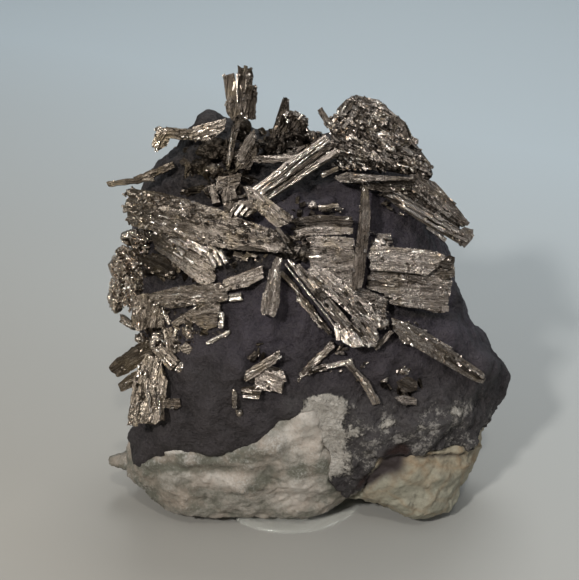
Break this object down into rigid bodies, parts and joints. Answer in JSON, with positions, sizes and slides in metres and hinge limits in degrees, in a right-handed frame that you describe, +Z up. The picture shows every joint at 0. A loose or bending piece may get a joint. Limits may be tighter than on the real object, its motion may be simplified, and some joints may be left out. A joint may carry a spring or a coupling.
{
  "type": "dyscrasite specimen",
  "caption": "Hand-sized mineral specimen: sprays of striated bronze-silver blades on a dark arsenic crust over white calcite and cream rock, on a clear round disc stand.",
  "frame": {"origin": "centre of the stand's underside", "axes": "+Z up, the display face looks to -Y and leans back, +X to the viewer's right"},
  "size_m": [0.0992, 0.0581, 0.1064],
  "materials": {
    "silver_blades": "bright striated metal, bronze-grey tarnish",
    "arsenic": "matt, dark purple-grey, finely bumpy",
    "calcite": "sugary white with grey-green streaks",
    "host_rock": "matt cream rock with brown stains",
    "clear_stand": "clear polished plastic"
  },
  "bodies": {
    "root": {"arsenic_matrix": "arsenic", "calcite_vein": "calcite", "center_block": "silver_blades", "crest": "silver_blades", "crossing_blades": "silver_blades", "crown_left": "silver_blades", "diagonal_blade": "silver_blades", "far_side_left": "silver_blades", "far_side_right": "silver_blades", "hanging_blade": "silver_blades", "horn": "silver_blades", "host_rock": "host_rock", "left_blades": "silver_blades", "left_lump": "silver_blades", "left_sheaf": "silver_blades", "left_spike": "silver_blades", "lower_fan": "silver_blades", "lower_left_spray": "silver_blades", "lower_middle_cross": "silver_blades", "lower_thin_blade": "silver_blades", "right_long_blade": "silver_blades", "right_slab": "silver_blades", "right_tail": "silver_blades", "short_lath": "silver_blades", "small_plate": "silver_blades", "stand": "clear_stand", "thin_bar": "silver_blades", "twigs": "silver_blades", "upright_blade": "silver_blades"}
  },
  "joints": []
}
